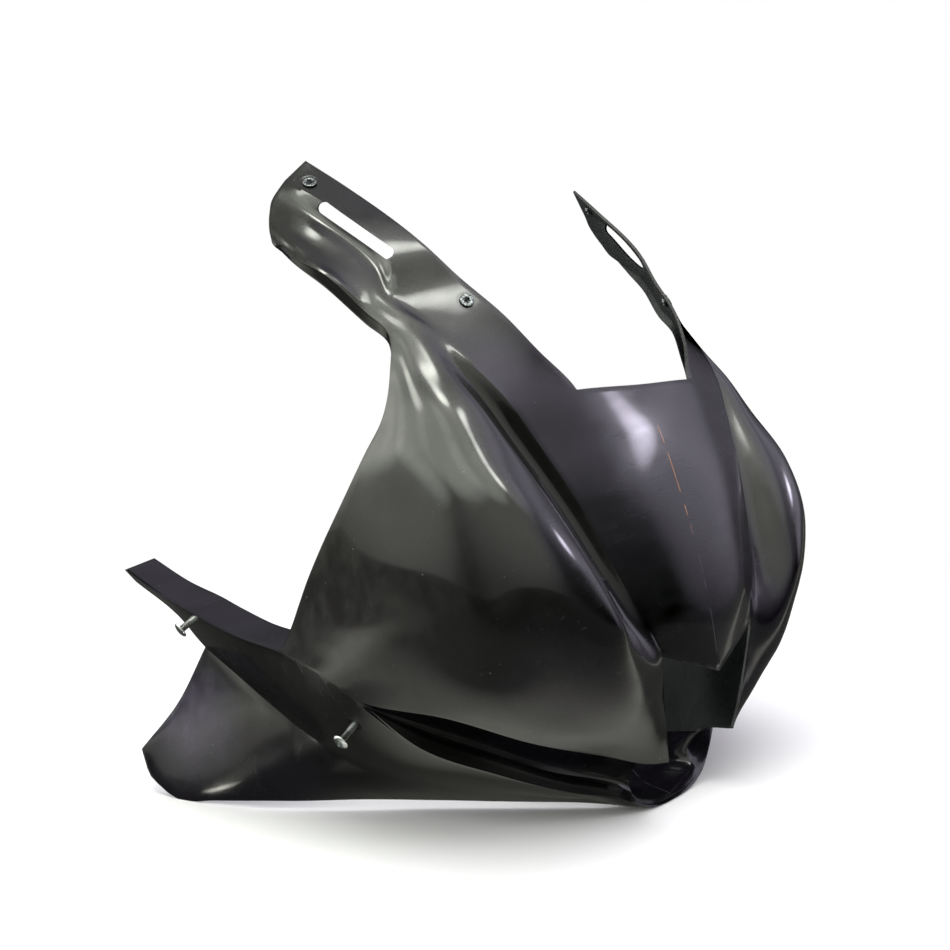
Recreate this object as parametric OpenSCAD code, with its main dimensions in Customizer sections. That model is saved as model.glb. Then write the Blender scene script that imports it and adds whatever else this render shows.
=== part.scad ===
// Upper nose fairing of a track motorcycle, moulded in one piece from black
// glass-fibre laminate: nose band between two cheeks, central air intake,
// two arms beside the windscreen, chin lip, waist and lower wings.
// It stands on the chin and on the two wing corners. X is across, the nose
// points to -Y, Z is up and the floor is Z = 0.

/* [Overall size] */
// Width over the widest part of the two side panels
overall_w = 546; // [480:1:620]
// Length from the nose to the rear corner of a wing
overall_l = 468; // [400:1:540]
// Height from the floor to the tips of the arms
overall_h = 549; // [480:1:620]

/* [Laminate] */
// Thickness of the laminate
wall = 2.5; // [2:0.5:3.5]
// Depth of the rim turned in along the lower edge of an arm
rim_depth = 11; // [6:1:14]
// Width of the flange turned in along the top of a wing
flange_w = 46; // [30:1:60]

/* [Nose] */
// Width of the intake opening at its upper corners
intake_w = 160; // [130:1:190]
// Width of the intake opening at its lower corners
intake_low_w = 116; // [96:1:140]
// How far the middle of the intake edge drops below its corners
intake_drop = 27; // [10:1:40]
// Depth of the channel beside the nose band, below the crease
channel_d = 12; // [4:1:18]

/* [Arm slots] */
// Length of the through slot in each arm
slot_l = 75; // [50:1:80]
// Width of the through slot in each arm
slot_w = 10; // [6:0.5:11]

/* [Screen inserts] */
// Thread of the windscreen inserts, nominal diameter
thread_d = 5; // [4:1:6]
// Tapping bore of the insert
thread_bore = 4.2; // [3.3:0.1:5.2]
// Diameter of the insert barrel
insert_d = 8; // [7:0.5:10]
// Diameter of the insert head
insert_head_d = 12; // [10:0.5:14]
// Thickness of the insert head
insert_head_t = 1.2; // [0.8:0.1:2]

/* [Panel studs] */
// Diameter of the stud head
stud_head_d = 14; // [12:0.5:18]
// Thickness of the stud head
stud_head_t = 2.4; // [1.6:0.1:4]
// Diameter of the stud shank
stud_d = 6; // [5:0.25:8]
// Length of shank that stands clear of the panel
stud_proud = 10; // [6:0.5:14]
// Outside diameter of the retaining ring behind the panel
ring_d = 11; // [10:0.5:14]
// Thickness of the retaining ring
ring_t = 1.2; // [1:0.1:2]
// Depth of the groove that holds the ring
groove_d = 0.6; // [0.4:0.1:1]

/* [Hidden] */

gelcoat = [0.05, 0.055, 0.055];
steel = [0.72, 0.74, 0.76];

// Rows of the net that have a part in the shape, and columns likewise.
row_screen = 6;
row_intake = 11;
row_edge = 14;
row_ceiling = 15;
row_floor = 16;
row_lip = 17;
row_chin = 18;
row_valley = 20;
row_bottom = 22;
col_crease = 2;
col_close = 7;
col_rear = 8;
col_arch = 12;
col_last = 14;
sharp_rows = [row_edge, row_lip, row_chin, row_valley, row_bottom];

// Every control point is given at the reference size and scaled to the
// overall size. The points are the left half, X positive.
// Y is counted from a point 15 behind the nose tip and moved so that the
// origin lies under the middle of the length.
ref = [546, 468, 549];
ref_mid_y = 218.87;
size = [overall_w, overall_l, overall_h];
function fit(p) = [p.x * size.x / ref.x, (p.y - ref_mid_y) * size.y / ref.y, p.z * size.z / ref.z];

top_w = intake_w / 2;
low_w = intake_low_w / 2;
intake_z = 149;
tip_z = intake_z - intake_drop;

// Rails run down the moulding from the arm tip to the lower edge.
// Rows 0-5 cross the arm, row 6 is the screen edge, row 11 the upper edge
// of the intake, row 14 the lower edge of the cheek and the flank.
rail_centre = [
    undef, undef, undef, undef, undef, undef,
    [0, 67, 363], [0, 49, 328], [0, 28, 278], [0, 8, 222],
    [0, -5, 174], [0, -15, tip_z]
];
rail_top = [
    [201, 269, 549], [190, 236, 528], [169, 167, 478], [157, 145, 455],
    [139, 111, 423], [122, 91, 396],
    [94, 71, 363], [86, 54, 328], [77, 31, 279], [68, 11, 223],
    [60, -2, 178], [top_w * 0.56, -9, intake_z - intake_drop * 0.44]
];
rail_crease = [
    [222, 272, 532], [216, 237, 514], [198, 184, 474], [206, 166.2, 436.6],
    [194, 136, 412], [187, 110, 388],
    [173, 83, 358], [160, 66, 328], [139, 41, 280], [117, 19, 225],
    [100, 6, 186], [top_w, -4, 149],
    [top_w - 7, -3, 110], [(top_w + low_w) / 2 - 4, -2, 76], [low_w, 0, 54]
];
rail_channel = [
    [229, 272, 525], [221, 243, 506], [203, 189, 463], [211.4, 168.2, 435.1],
    [201, 139.9, 412.4], [196.5, 112 + channel_d * 0.45, 387],
    [184, 85 + channel_d, 357], [171, 68 + channel_d, 327],
    [150, 41 + channel_d, 280], [128, 17 + channel_d * 0.8, 225],
    [111, 5 + channel_d * 0.4, 186], [top_w + 12, -5, 149],
    [top_w + 4, -6, 109], [(top_w + low_w) / 2 + 9, -1, 75], [low_w + 14, 6, 55]
];
rail_crown = [
    [238, 272, 514], [231, 243, 497], [215, 194, 459], [217, 170.7, 433],
    [208.4, 144.7, 412.5], [208.2, 120, 386.8],
    [204, 88, 356], [198, 65, 327], [187, 30, 280], [169, 1, 226],
    [155, -12, 187], [141, -13, 150], [122, -7, 110], [118, 7, 85], [118, 25, 70]
];
rail_shoulder = [
    [243, 269, 506], [241, 242, 487], [226.6, 198.8, 456.6], [221.8, 173.4, 430.7],
    [214.6, 149.5, 412.2], [219.5, 128.5, 385.5],
    [223, 97, 355], [220, 70, 326], [216, 29, 280], [212, 6, 227],
    [206, 4, 190], [200, 13, 158], [190, 25, 125], [187, 36, 107], [185, 50, 93]
];
rail_front = [
    [249, 264, 496], [249, 240, 480], [235.7, 202.3, 455.3], [225.8, 175.4, 429.1],
    [219.5, 153.7, 411.7], [228, 137.5, 383.8],
    [238.8, 116.9, 352.8], [245, 98, 325], [249, 64, 280], [251, 46, 229],
    [250, 42, 196], [249, 50, 172], [248, 60, 147], [247, 72, 133], [246, 87, 121]
];
rail_flank = [
    [254, 257, 485], [252.4, 239.2, 474.8], [242.5, 204.2, 455.1], [228.9, 177.2, 427.6],
    [223.2, 157.3, 411.2], [231.8, 145.5, 382.4],
    [244.8, 133.4, 349.5], [255, 125, 322], [262, 117, 280], [267, 106, 234],
    [268, 110, 204], [269, 118, 184], [269, 126, 165], [269, 136, 148], [268, 155, 127]
];
rail_rear = [
    [257, 247, 478], [254.6, 234.8, 469.6], [245.7, 206.8, 455], [231, 178.5, 426.5],
    [225.8, 159.8, 410.7], [233.5, 151.2, 381.5],
    [246.3, 148.6, 345.2], [256.4, 158.2, 317.7], [264, 174, 282], [267, 198, 238],
    [268, 212, 210], [269, 220, 190], [270, 227, 173], [271, 232, 162], [272, 237, 154]
];
// Direction in which the rim leaves the rear rail, row by row.
rim_way = [
    [-0.2, 0.1, -0.2], [-0.2, 0.1, -0.4], [-0.2, 0.1, -0.95], [-0.2, 0.1, -0.9],
    [-0.3, 0.2, -0.8], [-0.5, 0.4, -0.3],
    [-0.5, 0.4, 0], [-0.5, 0.4, 0], [-0.5, 0.4, 0], [-0.5, 0.4, 0],
    [-0.5, 0.4, 0], [-0.5, 0.4, 0.1], [-0.45, 0.3, 0.2], [-0.35, 0.2, 0.25], [-0.3, 0.1, 0.25]
];
rail_rim = [for (k = [0:14]) rail_rear[k] + rim_depth * rim_way[k]];
rails = [
    rail_centre, rail_top, rail_crease, rail_channel, rail_crown,
    rail_shoulder, rail_front, rail_flank, rail_rear, rail_rim
];

// Lines run back along the lower body, from the middle of the chin to the
// rear corner of the wing: recess, lip, waist, valley and bottom edge.
line_chin = [
    [0, 25, 1], [36, 27, 3], [56, 29, 10], [78, 35, 21], [118, 51, 33],
    [190, 80, 63], [240, 117, 90], [268, 155, 127], [272, 237, 154],
    [273, 285, 160], [271, 325, 167], [270.5, 338, 170], [270, 350, 173],
    [268, 390, 182], [265, 437, 197]
];
// How far the inner edge of the wing flange lies behind the outer edge.
flange_back = [0, 5, 2, 2, 2, 10, 15];
flange_edge = [for (k = [0:6]) line_chin[col_rear + k] + [-flange_w, flange_back[k], 2]];
line_ceiling = [
    [0, 84, 34], [36, 82, 38], [low_w - 2, 30, 47], [low_w + 16, 38, 58], [114, 62, 76],
    [176, 88, 100], [232, 116, 122], line_chin[7], line_chin[8]
];
line_floor = [
    [0, 60, 10], [36, 60, 15], [51, 42, 22], [71, 58, 30], [108, 80, 42],
    [170, 106, 72], [221, 134, 98], line_chin[7], for (p = flange_edge) p
];
line_lip = [
    [0, 32, 4], [36, 34, 8], [54, 36, 15], [77, 43, 24], [114, 60, 37],
    [182, 89, 67], [232, 123, 93], line_chin[7],
    for (k = [0:6]) (line_chin[col_rear + k] + flange_edge[k]) / 2
];
line_waist = [
    [0, 30, 0.5], [36, 34, 1.5], [57, 37, 7], [77, 47, 16], [115, 68, 26],
    [183, 105, 50], [228, 146, 70], [248, 182, 92], [254, 241, 114],
    [255, 288, 128], [256, 325, 141], [256.5, 339, 147], [257, 352, 153],
    [259, 386, 171], [261, 434, 191]
];
line_valley = [
    [0, 34, 0.5], [36, 39, 1], [58, 46, 6], [76, 59, 13], [112, 84, 21],
    [174, 130, 37], [214, 172, 50], [229, 207, 61], [234, 246, 76],
    [237, 290, 97], [241, 325, 117], [243, 341, 126], [245, 356, 135],
    [251, 383, 160], [258, 431, 186]
];
line_lower = [
    [0, 38, 1], [36, 43, 2], [57, 54, 5], [74, 70, 8], [108, 103, 13],
    [162, 155, 22], [203, 199, 28], [226, 237, 33], [236, 271, 40],
    [245, 312, 48], [252, 348, 60], [255, 369, 70], [256, 382, 82]
];
line_bottom = [
    [0, 42, 2], [36, 48, 3], [55, 62, 4], [72, 82, 5], [104, 122, 6],
    [150, 180, 8], [190, 226, 10], [220, 264, 9], [240, 295, 8],
    [256, 335, 4], [266, 373, 0], [269, 404, 17], [270, 413, 40]
];
line_tuck = [
    undef, undef, undef, undef, undef, undef, undef, undef, undef, undef,
    [262, 378, 0], [264, 411, 12], [266, 420, 36]
];
lines = [
    line_ceiling, line_floor, line_lip, line_chin, line_waist,
    line_valley, line_lower, line_bottom, line_tuck
];

function net(j, i) = j <= row_edge ? rails[i][j] : lines[j - row_ceiling][i];
function first_col(j) =
    j < row_screen ? 1 : j <= row_intake ? 0 : j <= row_edge ? col_crease : j > row_bottom ? 10 : 0;
function last_col(j) =
    j <= row_edge ? col_rear + 1 : j == row_ceiling ? col_rear : j <= row_valley ? col_last : col_arch;
function has(j, u) = j >= 0 && j <= 23 && u >= first_col(j) && u <= last_col(j);

function span(a, b) = max(norm(b - a), 0.001);
function hermite(p, q, m, n, t) =
    let (d = span(p, q), s = t * t, c = s * t)
    (2 * c - 3 * s + 1) * p + (c - 2 * s + t) * d * m + (3 * s - 2 * c) * q + (c - s) * d * n;
// Slope at q between its neighbours, weighted by the distance to each.
function slope(p, q, r) =
    let (a = span(p, q), b = span(q, r))
    ((q - p) * b / a + (r - q) * a / b) / (a + b);

// A sharp crease stops the curve across the moulding at this column.
function stop_col(j, i) =
    (j <= row_edge && (i == col_crease || i == col_rear)) || (j > row_edge && j < row_lip && i == col_crease);
function flip(p) = [-p.x, p.y, p.z];
function slope_col(j, i, side) =
    let (
        q = net(j, i),
        lo = i > first_col(j) && !(stop_col(j, i) && side > 0),
        hi = i < last_col(j) && !(stop_col(j, i) && side < 0),
        mirror = i == 0 && j != row_intake
    )
    mirror ? slope(flip(net(j, 1)), q, net(j, 1))
    : lo && hi ? slope(net(j, i - 1), q, net(j, i + 1))
    : hi ? (net(j, i + 1) - q) / span(q, net(j, i + 1))
    : (q - net(j, i - 1)) / span(q, net(j, i - 1));
function across(j, u) =
    let (i = min(floor(u), last_col(j) - 1), t = u - i)
    hermite(net(j, i), net(j, i + 1), slope_col(j, i, 1), slope_col(j, i + 1, -1), t);
// Where the recess has run out, its lines lie on the shoulder line.
function shut(j, u) =
    j >= row_edge && j < row_chin && u >= col_close && (u < col_rear || (u == col_rear && j < row_floor));
function row_point(j, u) = across(shut(j, u) ? row_chin : j, u);

function is_sharp(j) = len(search(j, sharp_rows)) > 0;
function slope_row(j, u, side) =
    let (
        q = row_point(j, u),
        lo = has(j - 1, u) && !(is_sharp(j) && side > 0),
        hi = has(j + 1, u) && !(is_sharp(j) && side < 0)
    )
    lo && hi ? slope(row_point(j - 1, u), q, row_point(j + 1, u))
    : hi ? (row_point(j + 1, u) - q) / span(q, row_point(j + 1, u))
    : (q - row_point(j - 1, u)) / span(q, row_point(j - 1, u));
// Point of the outer face: u counts across the rails, v down the rows.
function face(u, v) =
    let (j = floor(v), t = v - j)
    fit(t < 0.0001 ? row_point(j, u)
        : hermite(row_point(j, u), row_point(j + 1, u), slope_row(j, u, 1), slope_row(j + 1, u, -1), t));
function unit(p) = p / max(norm(p), 0.000001);
function outward(u, v) =
    let (e = 0.02)
    unit(cross(face(u, v + e) - face(u, v - e), face(u + e, v) - face(u - e, v)));

// Steps of the mesh between one rail or row and the next.
steps_u = [3, 4, 1, 3, 3, 3, 3, 3, 2, 2, 1, 1, 2, 2];
steps_v = [4, 5, 2, 2, 2, 2, 2, 3, 3, 2, 2, 2, 2, 1, 2, 2, 2, 1, 2, 2, 2, 2, 1];
us = [for (i = [0:col_last - 1]) for (k = [0:steps_u[i] - 1]) i + k / steps_u[i], col_last];
vs = [for (j = [0:22]) for (k = [0:steps_v[j] - 1]) j + k / steps_v[j], 23];
nu = len(us);
nv = len(vs);
function sum_to(list, n) = n <= 0 ? 0 : list[n - 1] + sum_to(list, n - 1);
b_edge = sum_to(steps_v, row_edge);
b_floor = sum_to(steps_v, row_floor);
b_chin = sum_to(steps_v, row_chin);
a_close = sum_to(steps_u, col_close);
a_rear = sum_to(steps_u, col_rear);

function filled(a, b) =
    a >= 0 && b >= 0 && a < nu - 1 && b < nv - 1
    && has(floor(vs[b]), us[a]) && has(floor(vs[b]), us[a + 1])
    && has(floor(vs[b]) + 1, us[a]) && has(floor(vs[b]) + 1, us[a + 1])
    && !(floor(vs[b]) == row_edge && us[a] >= col_rear)
    && !(floor(vs[b]) == row_ceiling && us[a] >= col_rear)
    && !(us[a] >= col_close && us[a] < col_rear && b >= b_edge && b < b_chin);
cell = [for (a = [0:nu - 2]) [for (b = [0:nv - 2]) filled(a, b)]];
function live(a, b) = a >= 0 && b >= 0 && a < nu - 1 && b < nv - 1 && cell[a][b];
function used(a, b) = live(a, b) || live(a - 1, b) || live(a, b - 1) || live(a - 1, b - 1);
grid = [for (a = [0:nu - 1]) [for (b = [0:nv - 1])
    used(a, b) || (a >= a_close && a <= a_rear) ? (has(floor(vs[b]), us[a]) ? face(us[a], vs[b]) : undef) : undef]];

function closed(a, b) =
    a >= a_close && a <= a_rear && b >= b_edge && b <= b_chin && !(a == a_rear && b >= b_floor && b < b_chin);
function cell_out(a, b) =
    unit(cross(grid[a][b + 1] - grid[a + 1][b], grid[a + 1][b + 1] - grid[a][b]));
outs = [for (a = [0:nu - 2]) [for (b = [0:nv - 2]) cell[a][b] ? cell_out(a, b) : undef]];
function near(a, b) =
    let (lo = closed(a, b) ? b_edge - 1 : b - 1, hi = closed(a, b) ? b_chin : b)
    [for (i = [a - 1, a]) for (j = [lo:hi]) if (live(i, j)) outs[i][j]];
function total(list, n = 0) = n >= len(list) ? [0, 0, 0] : list[n] + total(list, n + 1);
// Inner face: every point moves in along the mean normal, a little more at
// a fold so that both sides of the fold keep their thickness.
function inner(a, b) =
    let (
        list = near(a, b),
        sum = total(list),
        way = unit(a == 0 ? [0, sum.y, sum.z] : sum),
        lean = norm(sum) / max(len(list), 1)
    )
    grid[a][b] - way * wall / max(lean, 0.65);

points_out = [for (a = [0:nu - 1]) for (b = [0:nv - 1]) is_undef(grid[a][b]) ? [0, 0, 0] : grid[a][b]];
points_in = [for (a = [0:nu - 1]) for (b = [0:nv - 1])
    is_undef(grid[a][b]) || len(near(a, b)) == 0 ? [0, 0, 0] : inner(a, b)];
count = nu * nv;
function index(a, b, layer, half) =
    (a == 0 ? 0 : half) * 2 * count + layer * count + a * nv + (closed(a, b) ? b_chin : b);
function turn(face, half) = half == 0 ? face : [face[2], face[1], face[0]];
function tri(p, q, r, half) = p == q || q == r || p == r ? [] : [turn([p, q, r], half)];
// Each cell is split along its shorter diagonal.
function skin(a, b, layer, half) =
    let (
        p = index(a, b, layer, half),
        q = index(a + 1, b, layer, half),
        r = index(a + 1, b + 1, layer, half),
        s = index(a, b + 1, layer, half),
        long = norm(grid[a][b] - grid[a + 1][b + 1]) > norm(grid[a + 1][b] - grid[a][b + 1]),
        f = long ? [tri(p, q, s, half), tri(q, r, s, half)] : [tri(p, q, r, half), tri(p, r, s, half)]
    )
    [for (g = f) for (t = g) layer == 0 ? t : [t[2], t[1], t[0]]];
function side(a1, b1, a2, b2, half) =
    let (
        p = index(a1, b1, 0, half),
        q = index(a2, b2, 0, half),
        r = index(a1, b1, 1, half),
        s = index(a2, b2, 1, half)
    )
    p == q ? [] : [turn([q, p, r], half), turn([q, r, s], half)];
function above(a, b) = closed(a, b) && closed(a + 1, b) ? b_edge - 1 : b - 1;
function below(a, b) = closed(a, b + 1) && closed(a + 1, b + 1) ? b_chin : b + 1;
function rim_faces(a, b, half) = [
    if (!live(a, above(a, b))) each side(a, b, a + 1, b, half),
    if (!live(a + 1, b)) each side(a + 1, b, a + 1, b + 1, half),
    if (!live(a, below(a, b))) each side(a + 1, b + 1, a, b + 1, half),
    if (a > 0 && !live(a - 1, b)) each side(a, b + 1, a, b, half)
];
shell_points = concat(
    points_out, points_in,
    [for (p = points_out) flip(p)], [for (p = points_in) flip(p)]
);
shell_faces = [for (half = [0, 1]) for (a = [0:nu - 2]) for (b = [0:nv - 2]) if (cell[a][b])
    each concat(skin(a, b, 0, half), skin(a, b, 1, half), rim_faces(a, b, half))];

// Running clearance between ring and groove, and room behind the panel.
gap = 0.06;
// The insert head lies on the laminate, its barrel is crimped to a bulb
// behind it.
head_lift = 0.4;
behind = 0.5;
lead_in = 0.5;
barrel_l = 3;
bulb_t = 1.6;
bulb_wide = 3;
ring_room = 0.9;
ring_low = -wall - ring_room - ring_t;
stud_tail = wall + 7.5;
hole_room = 0.3;
cut_l = 16;
slot_cut_l = 40;

// Places of the fasteners on the outer face, as rail and row.
insert_upper_at = [1.62, 0.45];
insert_lower_at = [1.24, 3.52];
stud_front_at = [7.05, 19.07];
stud_rear_at = [12.2, 18.84];
slot_mid_at = [2.45, 1.52];

// Lays the children on the outer face, Z outward, on one side of the body.
module on_face(at, left = 1) {
    p = face(at.x, at.y);
    z = outward(at.x, at.y);
    x = unit(face(at.x, at.y + 0.02) - face(at.x, at.y - 0.02));
    y = cross(z, x);
    mirror([left > 0 ? 0 : 1, 0, 0])
    multmatrix([
        [x.x, y.x, z.x, p.x],
        [x.y, y.y, z.y, p.y],
        [x.z, y.z, z.z, p.z],
        [0, 0, 0, 1]
    ])
    children();
}

module slot_cut() {
    hull()
    for (s = [-1, 1])
        translate([s * (slot_l - slot_w) / 2, 0, 0])
        cylinder(h = slot_cut_l, d = slot_w, center = true, $fn = 24);
}

module fairing_shell() {
    color(gelcoat)
    difference() {
        polyhedron(points = shell_points, faces = shell_faces, convexity = 12);
        for (left = [-1, 1]) {
            on_face(slot_mid_at, left) slot_cut();
            for (at = [insert_upper_at, insert_lower_at])
                on_face(at, left) cylinder(h = cut_l, d = insert_d + hole_room, center = true, $fn = 32);
            for (at = [stud_front_at, stud_rear_at])
                on_face(at, left) cylinder(h = cut_l, d = stud_d + 2 * hole_room, center = true, $fn = 32);
        }
    }
}

module screen_insert() {
    color(steel)
    difference() {
        union() {
            translate([0, 0, head_lift]) cylinder(h = insert_head_t, d = insert_head_d, $fn = 48);
            translate([0, 0, -wall - barrel_l]) cylinder(h = wall + barrel_l + 0.5, d = insert_d, $fn = 48);
            translate([0, 0, -wall - bulb_t - behind]) cylinder(h = bulb_t, d = insert_d + bulb_wide, $fn = 48);
        }
        translate([0, 0, -wall - barrel_l - 1])
        cylinder(h = wall + barrel_l + insert_head_t + 3, d = thread_bore, $fn = 48);
        translate([0, 0, head_lift + insert_head_t - lead_in])
        cylinder(h = lead_in + 0.01, d1 = thread_bore, d2 = thread_d + 0.2, $fn = 48);
    }
}

module panel_stud() {
    head = stud_head_d / 2;
    shank = stud_d / 2;
    color(steel)
    rotate_extrude($fn = 64)
    polygon([
        [0, -stud_tail], [shank - 0.8, -stud_tail], [shank, -stud_tail + 0.8],
        [shank, ring_low], [shank - groove_d, ring_low],
        [shank - groove_d, ring_low + ring_t + 2 * gap], [shank, ring_low + ring_t + 2 * gap],
        [shank, stud_proud], [head - 0.3, stud_proud], [head, stud_proud + 0.5],
        [head - 1.2, stud_proud + stud_head_t - 0.5],
        [head - 3.5, stud_proud + stud_head_t], [0, stud_proud + stud_head_t]
    ]);
}

module stud_ring() {
    color(steel)
    translate([0, 0, ring_low + gap])
    difference() {
        cylinder(h = ring_t, d = ring_d, $fn = 48);
        translate([0, 0, -1]) cylinder(h = ring_t + 2, d = stud_d - 2 * groove_d + 2 * gap, $fn = 48);
    }
}

fairing_shell();
on_face(insert_upper_at, -1) screen_insert();  // insert_upper_right
on_face(insert_lower_at, -1) screen_insert();  // insert_lower_right
on_face(insert_upper_at, 1) screen_insert();  // insert_upper_left
on_face(insert_lower_at, 1) screen_insert();  // insert_lower_left
on_face(stud_front_at, -1) panel_stud();  // stud_front_right
on_face(stud_rear_at, -1) panel_stud();  // stud_rear_right
on_face(stud_front_at, 1) panel_stud();  // stud_front_left
on_face(stud_rear_at, 1) panel_stud();  // stud_rear_left
on_face(stud_front_at, -1) stud_ring();  // ring_front_right
on_face(stud_rear_at, -1) stud_ring();  // ring_rear_right
on_face(stud_front_at, 1) stud_ring();  // ring_front_left
on_face(stud_rear_at, 1) stud_ring();  // ring_rear_left
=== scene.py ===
import math
import bmesh
import bpy
import numpy as np
from mathutils import Matrix, Vector


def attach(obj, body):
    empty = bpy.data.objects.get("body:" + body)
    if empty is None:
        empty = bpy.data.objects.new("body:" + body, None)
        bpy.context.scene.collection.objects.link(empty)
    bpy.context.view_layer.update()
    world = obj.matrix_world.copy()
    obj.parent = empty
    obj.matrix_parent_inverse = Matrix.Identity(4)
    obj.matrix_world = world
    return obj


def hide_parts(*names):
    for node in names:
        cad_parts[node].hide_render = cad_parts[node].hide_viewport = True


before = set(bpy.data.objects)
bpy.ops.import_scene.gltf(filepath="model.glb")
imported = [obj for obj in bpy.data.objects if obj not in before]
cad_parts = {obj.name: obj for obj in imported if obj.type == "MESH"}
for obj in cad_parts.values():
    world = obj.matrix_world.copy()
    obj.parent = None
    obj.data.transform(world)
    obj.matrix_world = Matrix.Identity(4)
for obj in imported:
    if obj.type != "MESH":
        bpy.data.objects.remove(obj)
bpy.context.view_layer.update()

# Camera. It stands where the photograph was taken from: low, in front of the
# nose and to the rider's right, looking slightly down at the nose band.
camera_data = bpy.data.cameras.new("camera")
camera_data.sensor_width = 36
camera_data.lens = 53.05
camera = bpy.data.objects.new("camera", camera_data)
camera.location = (-1.0501, -0.7731, 0.4367)
camera.rotation_euler = (math.radians(90 - 7.193), 0, math.radians(-52.652))
bpy.context.scene.collection.objects.link(camera)
bpy.context.scene.camera = camera


# Materials are node trees in Object coordinates. Colours are sRGB hex values,
# turned linear here, and node() adds one node and joins its inputs. The short
# functions after it each add the one node that they name.
def colour(hex_value):
    parts = [int(hex_value[k:k + 2], 16) / 255 for k in (0, 2, 4)]
    linear = [c / 12.92 if c <= 0.04045 else ((c + 0.055) / 1.055) ** 2.4 for c in parts]
    return (*linear, 1)


def node(tree, kind, inputs=None, **settings):
    made = tree.nodes.new("ShaderNode" + kind)
    for name, value in settings.items():
        setattr(made, name, value)
    for name, value in (inputs or {}).items():
        socket = made.inputs[name]
        if isinstance(value, bpy.types.NodeSocket):
            tree.links.new(value, socket)
        else:
            socket.default_value = value
    return made


def new_material(name):
    made = bpy.data.materials.new(name)
    made.use_nodes = True
    tree = made.node_tree
    tree.nodes.clear()
    place = node(tree, "TexCoord").outputs["Object"]
    return made, tree, place


def finish_material(tree, shader):
    output = node(tree, "OutputMaterial")
    tree.links.new(shader.outputs[0], output.inputs["Surface"])


def ramp(tree, value, low, high, low_out=0.0, high_out=1.0):
    made = node(tree, "MapRange", {
        "Value": value, "From Min": low, "From Max": high, "To Min": low_out, "To Max": high_out})
    return made.outputs["Result"]


def worked(tree, operation, *values):
    return node(tree, "Math", dict(enumerate(values)), operation=operation).outputs[0]


def distance(tree, place, spot):
    return node(tree, "VectorMath", {0: place, 1: spot}, operation="DISTANCE").outputs["Value"]


def along_way(tree, place, way):
    return node(tree, "VectorMath", {0: place, 1: way}, operation="DOT_PRODUCT").outputs["Value"]


def between(tree, factor, first, second):
    return node(tree, "Mix", {"Factor": factor, 2: first, 3: second}, data_type="FLOAT").outputs[0]


def tinted(tree, factor, first, second):
    """Colour from the first to the second, each a hex value or a socket."""
    ends = [colour(end) if isinstance(end, str) else end for end in (first, second)]
    return node(tree, "Mix", {"Factor": factor, 6: ends[0], 7: ends[1]}, data_type="RGBA").outputs[2]


def noise(tree, place, scale, detail=4.0):
    return node(tree, "TexNoise", {"Vector": place, "Scale": scale, "Detail": detail}).outputs["Fac"]


# Studio. The moulding stands on white paper, and the camera sees plain white
# behind it. Glossy faces see a stand-in for the room, whose bright and dark
# places were fitted to the photograph's reflections, for this camera alone.
floor_mesh = bpy.data.meshes.new("paper")
floor_mesh.from_pydata([(-4, -4, 0), (4, -4, 0), (4, 4, 0), (-4, 4, 0)], [], [(0, 1, 2, 3)])
floor = bpy.data.objects.new("paper", floor_mesh)
bpy.context.scene.collection.objects.link(floor)
paper, tree, place = new_material("paper")
sheet = node(tree, "BsdfPrincipled", {"Base Color": colour("f4f4f5"), "Roughness": 0.9}).outputs[0]
# Away from the moulding the paper runs out into plain white for the camera.
away = node(tree, "VectorMath", {0: place}, operation="LENGTH").outputs["Value"]
plain = node(tree, "Emission", {"Color": colour("ffffff"), "Strength": 1.0}).outputs[0]
seen = node(tree, "MixShader", {"Fac": ramp(tree, away, 0.3, 1.1), 1: sheet, 2: plain}).outputs[0]
# What glossy faces see of the floor is fitted too, as painted light: the paper
# glows with painted shade close to the moulding, then a curved painted strip of
# lit paper, and dim beyond it.
across = along_way(tree, place, (-0.707, -0.707, 0))
along = along_way(tree, place, (0.707, -0.707, 0))
strip = worked(tree, "MULTIPLY_ADD", worked(tree, "MULTIPLY", along, along), 0.4, across)
past = worked(tree, "SUBTRACT", strip, ramp(tree, along, 0.0, -0.8, 0.0, 0.3))
beyond = ramp(tree, node(tree, "SeparateXYZ", {"Vector": place}).outputs["Y"], -0.6, -0.2, 0.06, 0.3)
dark_or_strip = ramp(tree, strip, 0.175, 0.235, 0.03, 1.15)
lit = between(tree, ramp(tree, past, 0.28, 0.38), dark_or_strip, beyond)
# Three fitted corrections beside the wing, all painted light in the paper's
# glow: a painted bright area, a painted shade and a small painted bright spot
# that puts a painted highlight on the wing. They stand for nothing in the room.
bright_area = ramp(tree, distance(tree, place, (-0.88, 0.44, 0)), 0.35, 0.1, 0.0, 1.3)
dark_area = ramp(tree, distance(tree, place, (-0.39, 0.12, 0)), 0.09, 0.16, -0.85, 0.0)
corrected = worked(tree, "ADD", lit, worked(tree, "ADD", bright_area, dark_area))
bright_spot = ramp(tree, distance(tree, place, (-0.345, 0.138, 0)), 0.022, 0.005, 0.0, 22.0)
paper_glow = worked(tree, "ADD", worked(tree, "MAXIMUM", corrected, 0.09), bright_spot)
mirrored = node(tree, "Emission", {"Color": colour("f4f4e8"), "Strength": paper_glow}).outputs[0]
glossy = node(tree, "LightPath").outputs["Is Glossy Ray"]
finish_material(tree, node(tree, "MixShader", {"Fac": glossy, 1: seen, 2: mirrored}))
floor_mesh.materials.append(paper)

world = bpy.data.worlds.new("studio")
bpy.context.scene.world = world
world.use_nodes = True
tree = world.node_tree
tree.nodes.clear()
way = node(tree, "TexCoord").outputs["Generated"]
height = node(tree, "SeparateXYZ", {"Vector": way}).outputs["Z"]


def glow(azimuth, elevation, inner, outer, strength):
    """Round patch of light, soft from inner to outer degrees. Below zero it darkens."""
    a, e = math.radians(azimuth), math.radians(elevation)
    aim = (math.sin(a) * math.cos(e), -math.cos(a) * math.cos(e), math.sin(e))
    facing = along_way(tree, way, aim)
    return ramp(tree, facing, math.cos(math.radians(outer)), math.cos(math.radians(inner)), 0.0, strength)
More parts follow.
